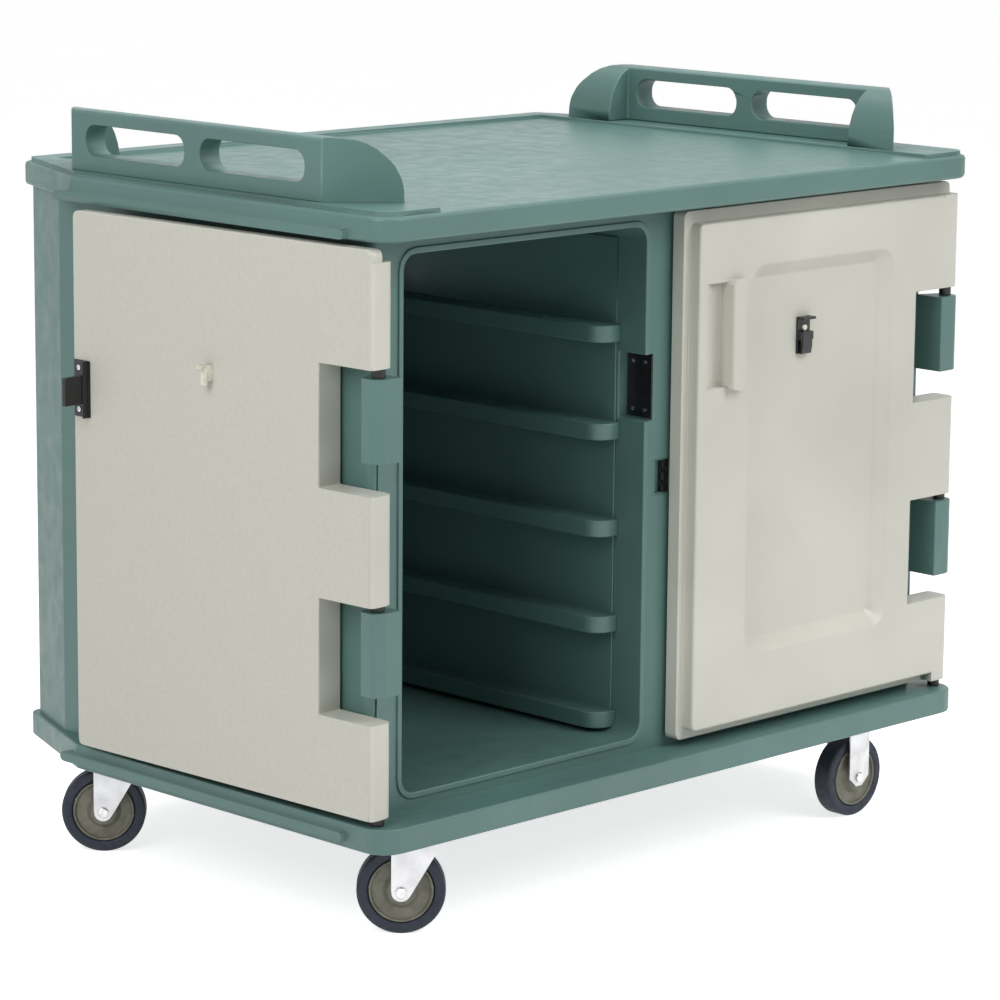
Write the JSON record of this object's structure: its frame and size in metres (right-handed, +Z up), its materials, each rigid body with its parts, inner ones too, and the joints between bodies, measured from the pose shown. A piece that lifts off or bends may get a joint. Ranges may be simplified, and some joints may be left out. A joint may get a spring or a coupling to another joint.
{
  "type": "enclosed meal tray cart",
  "caption": "Insulated meal tray cart: moulded cabinet with two railed compartments, two lift-off doors with magnetic latches, end handles, swivel and rigid casters.",
  "frame": {"origin": "on the floor, under the middle of the bounding box of the cart with its left door open", "axes": "+X towards the rigid-caster end, +Y towards the rear, +Z up; the doors face -Y"},
  "size_m": [1.3252, 0.876, 1.132],
  "materials": {
    "cabinet_shell": "moulded slate green polyethylene, fine orange-peel texture",
    "door_skin": "moulded cream polyethylene, linen grain inside",
    "foam": "rigid polyurethane foam",
    "white_plastic": "white moulded plastic",
    "black_nylon": "black moulded nylon",
    "magnet_case": "black plastic case with a magnet",
    "blackened_steel": "black painted steel",
    "bright_steel": "stainless steel",
    "zinc_steel": "zinc plated pressed steel",
    "hub_plastic": "olive grey moulded hub",
    "tyre": "navy black non-marking rubber"
  },
  "bodies": {
    "cabinet": {"cabinet_shell": "cabinet_shell", "centre_keeper": "black_nylon", "left_tray_liner": "cabinet_shell", "right_tray_liner": "cabinet_shell", "left_handle": "cabinet_shell", "right_handle": "cabinet_shell", "left_strike_plate": "blackened_steel", "left_strike_rivet_lower_front": "bright_steel", "left_strike_rivet_lower_rear": "bright_steel", "left_strike_rivet_upper_front": "bright_steel", "left_strike_rivet_upper_rear": "bright_steel", "left_hinge_pin_lower": "black_nylon", "left_hinge_pin_middle": "black_nylon", "left_hinge_pin_upper": "black_nylon", "right_strike_plate": "blackened_steel", "right_strike_rivet_lower_front": "bright_steel", "right_strike_rivet_lower_rear": "bright_steel", "right_strike_rivet_upper_front": "bright_steel", "right_strike_rivet_upper_rear": "bright_steel", "right_hinge_pin_lower": "black_nylon", "right_hinge_pin_middle": "black_nylon", "right_hinge_pin_upper": "black_nylon", "front_left_caster_plate": "zinc_steel", "rear_left_caster_plate": "zinc_steel", "front_right_caster_bracket": "zinc_steel", "front_right_axle": "bright_steel", "rear_right_caster_bracket": "zinc_steel", "rear_right_axle": "bright_steel"},
    "left_door": {"left_door_skin": "door_skin", "left_door_foam": "foam", "left_latch_bracket": "blackened_steel", "left_latch_magnet": "magnet_case", "left_menu_clip_body": "black_nylon", "left_menu_clip_retainer": "white_plastic", "left_latch_screw_lower": "bright_steel", "left_latch_screw_upper": "bright_steel"},
    "left_clip_jaw": {"left_menu_clip_jaw": "black_nylon"},
    "right_door": {"right_door_skin": "door_skin", "right_door_foam": "foam", "right_latch_bracket": "blackened_steel", "right_latch_magnet": "magnet_case", "right_menu_clip_body": "black_nylon", "right_menu_clip_retainer": "white_plastic", "right_latch_screw_lower": "bright_steel", "right_latch_screw_upper": "bright_steel"},
    "right_clip_jaw": {"right_menu_clip_jaw": "black_nylon"},
    "front_left_swivel": {"front_left_caster_fork": "zinc_steel", "front_left_axle": "bright_steel"},
    "rear_left_swivel": {"rear_left_caster_fork": "zinc_steel", "rear_left_axle": "bright_steel"},
    "front_left_wheel": {"front_left_tyre": "tyre", "front_left_hub": "hub_plastic"},
    "rear_left_wheel": {"rear_left_tyre": "tyre", "rear_left_hub": "hub_plastic"},
    "front_right_wheel": {"front_right_tyre": "tyre", "front_right_hub": "hub_plastic"},
    "rear_right_wheel": {"rear_right_tyre": "tyre", "rear_right_hub": "hub_plastic"}
  },
  "joints": [
    {"name": "left_door_hinge", "type": "hinge", "parent": "cabinet", "child": "left_door", "pos_m": [-0.57388, -0.403, 0.6], "axis": [0, 0, 1], "range_deg": [0, 268.32]},
    {"name": "right_door_hinge", "type": "hinge", "parent": "cabinet", "child": "right_door", "pos_m": [0.63312, -0.403, 0.6], "axis": [0, 0, 1], "range_deg": [0, 268.32]},
    {"name": "left_clip_pivot", "type": "hinge", "parent": "left_door", "child": "left_clip_jaw", "pos_m": [-0.57947, -0.09803, 0.787], "axis": [0.0292, -0.9996, 0], "range_deg": [0, 20], "stiffness_Nm_per_rad": 0.02, "springref_deg": -20.05},
    {"name": "right_clip_pivot", "type": "hinge", "parent": "right_door", "child": "right_clip_jaw", "pos_m": [0.30112, -0.4063, 0.787], "axis": [-1, 0, 0], "range_deg": [0, 20], "stiffness_Nm_per_rad": 0.02, "springref_deg": -20.05},
    {"name": "front_left_swivel", "type": "hinge", "parent": "cabinet", "child": "front_left_swivel", "pos_m": [-0.42838, -0.353, 0.14], "axis": [0, 0, 1], "continuous": true},
    {"name": "front_left_wheel_spin", "type": "hinge", "parent": "front_left_swivel", "child": "front_left_wheel", "pos_m": [-0.45581, -0.3267, 0.0635], "axis": [-0.6921, -0.7218, 0], "continuous": true},
    {"name": "rear_left_swivel", "type": "hinge", "parent": "cabinet", "child": "rear_left_swivel", "pos_m": [-0.46638, 0.261, 0.14], "axis": [0, 0, 1], "continuous": true},
    {"name": "rear_left_wheel_spin", "type": "hinge", "parent": "rear_left_swivel", "child": "rear_left_wheel", "pos_m": [-0.49381, 0.2873, 0.0635], "axis": [-0.6921, -0.7218, 0], "continuous": true},
    {"name": "front_right_wheel_spin", "type": "hinge", "parent": "cabinet", "child": "front_right_wheel", "pos_m": [0.48762, -0.353, 0.0635], "axis": [0, 1, 0], "continuous": true},
    {"name": "rear_right_wheel_spin", "type": "hinge", "parent": "cabinet", "child": "rear_right_wheel", "pos_m": [0.48762, 0.261, 0.0635], "axis": [0, 1, 0], "continuous": true}
  ]
}
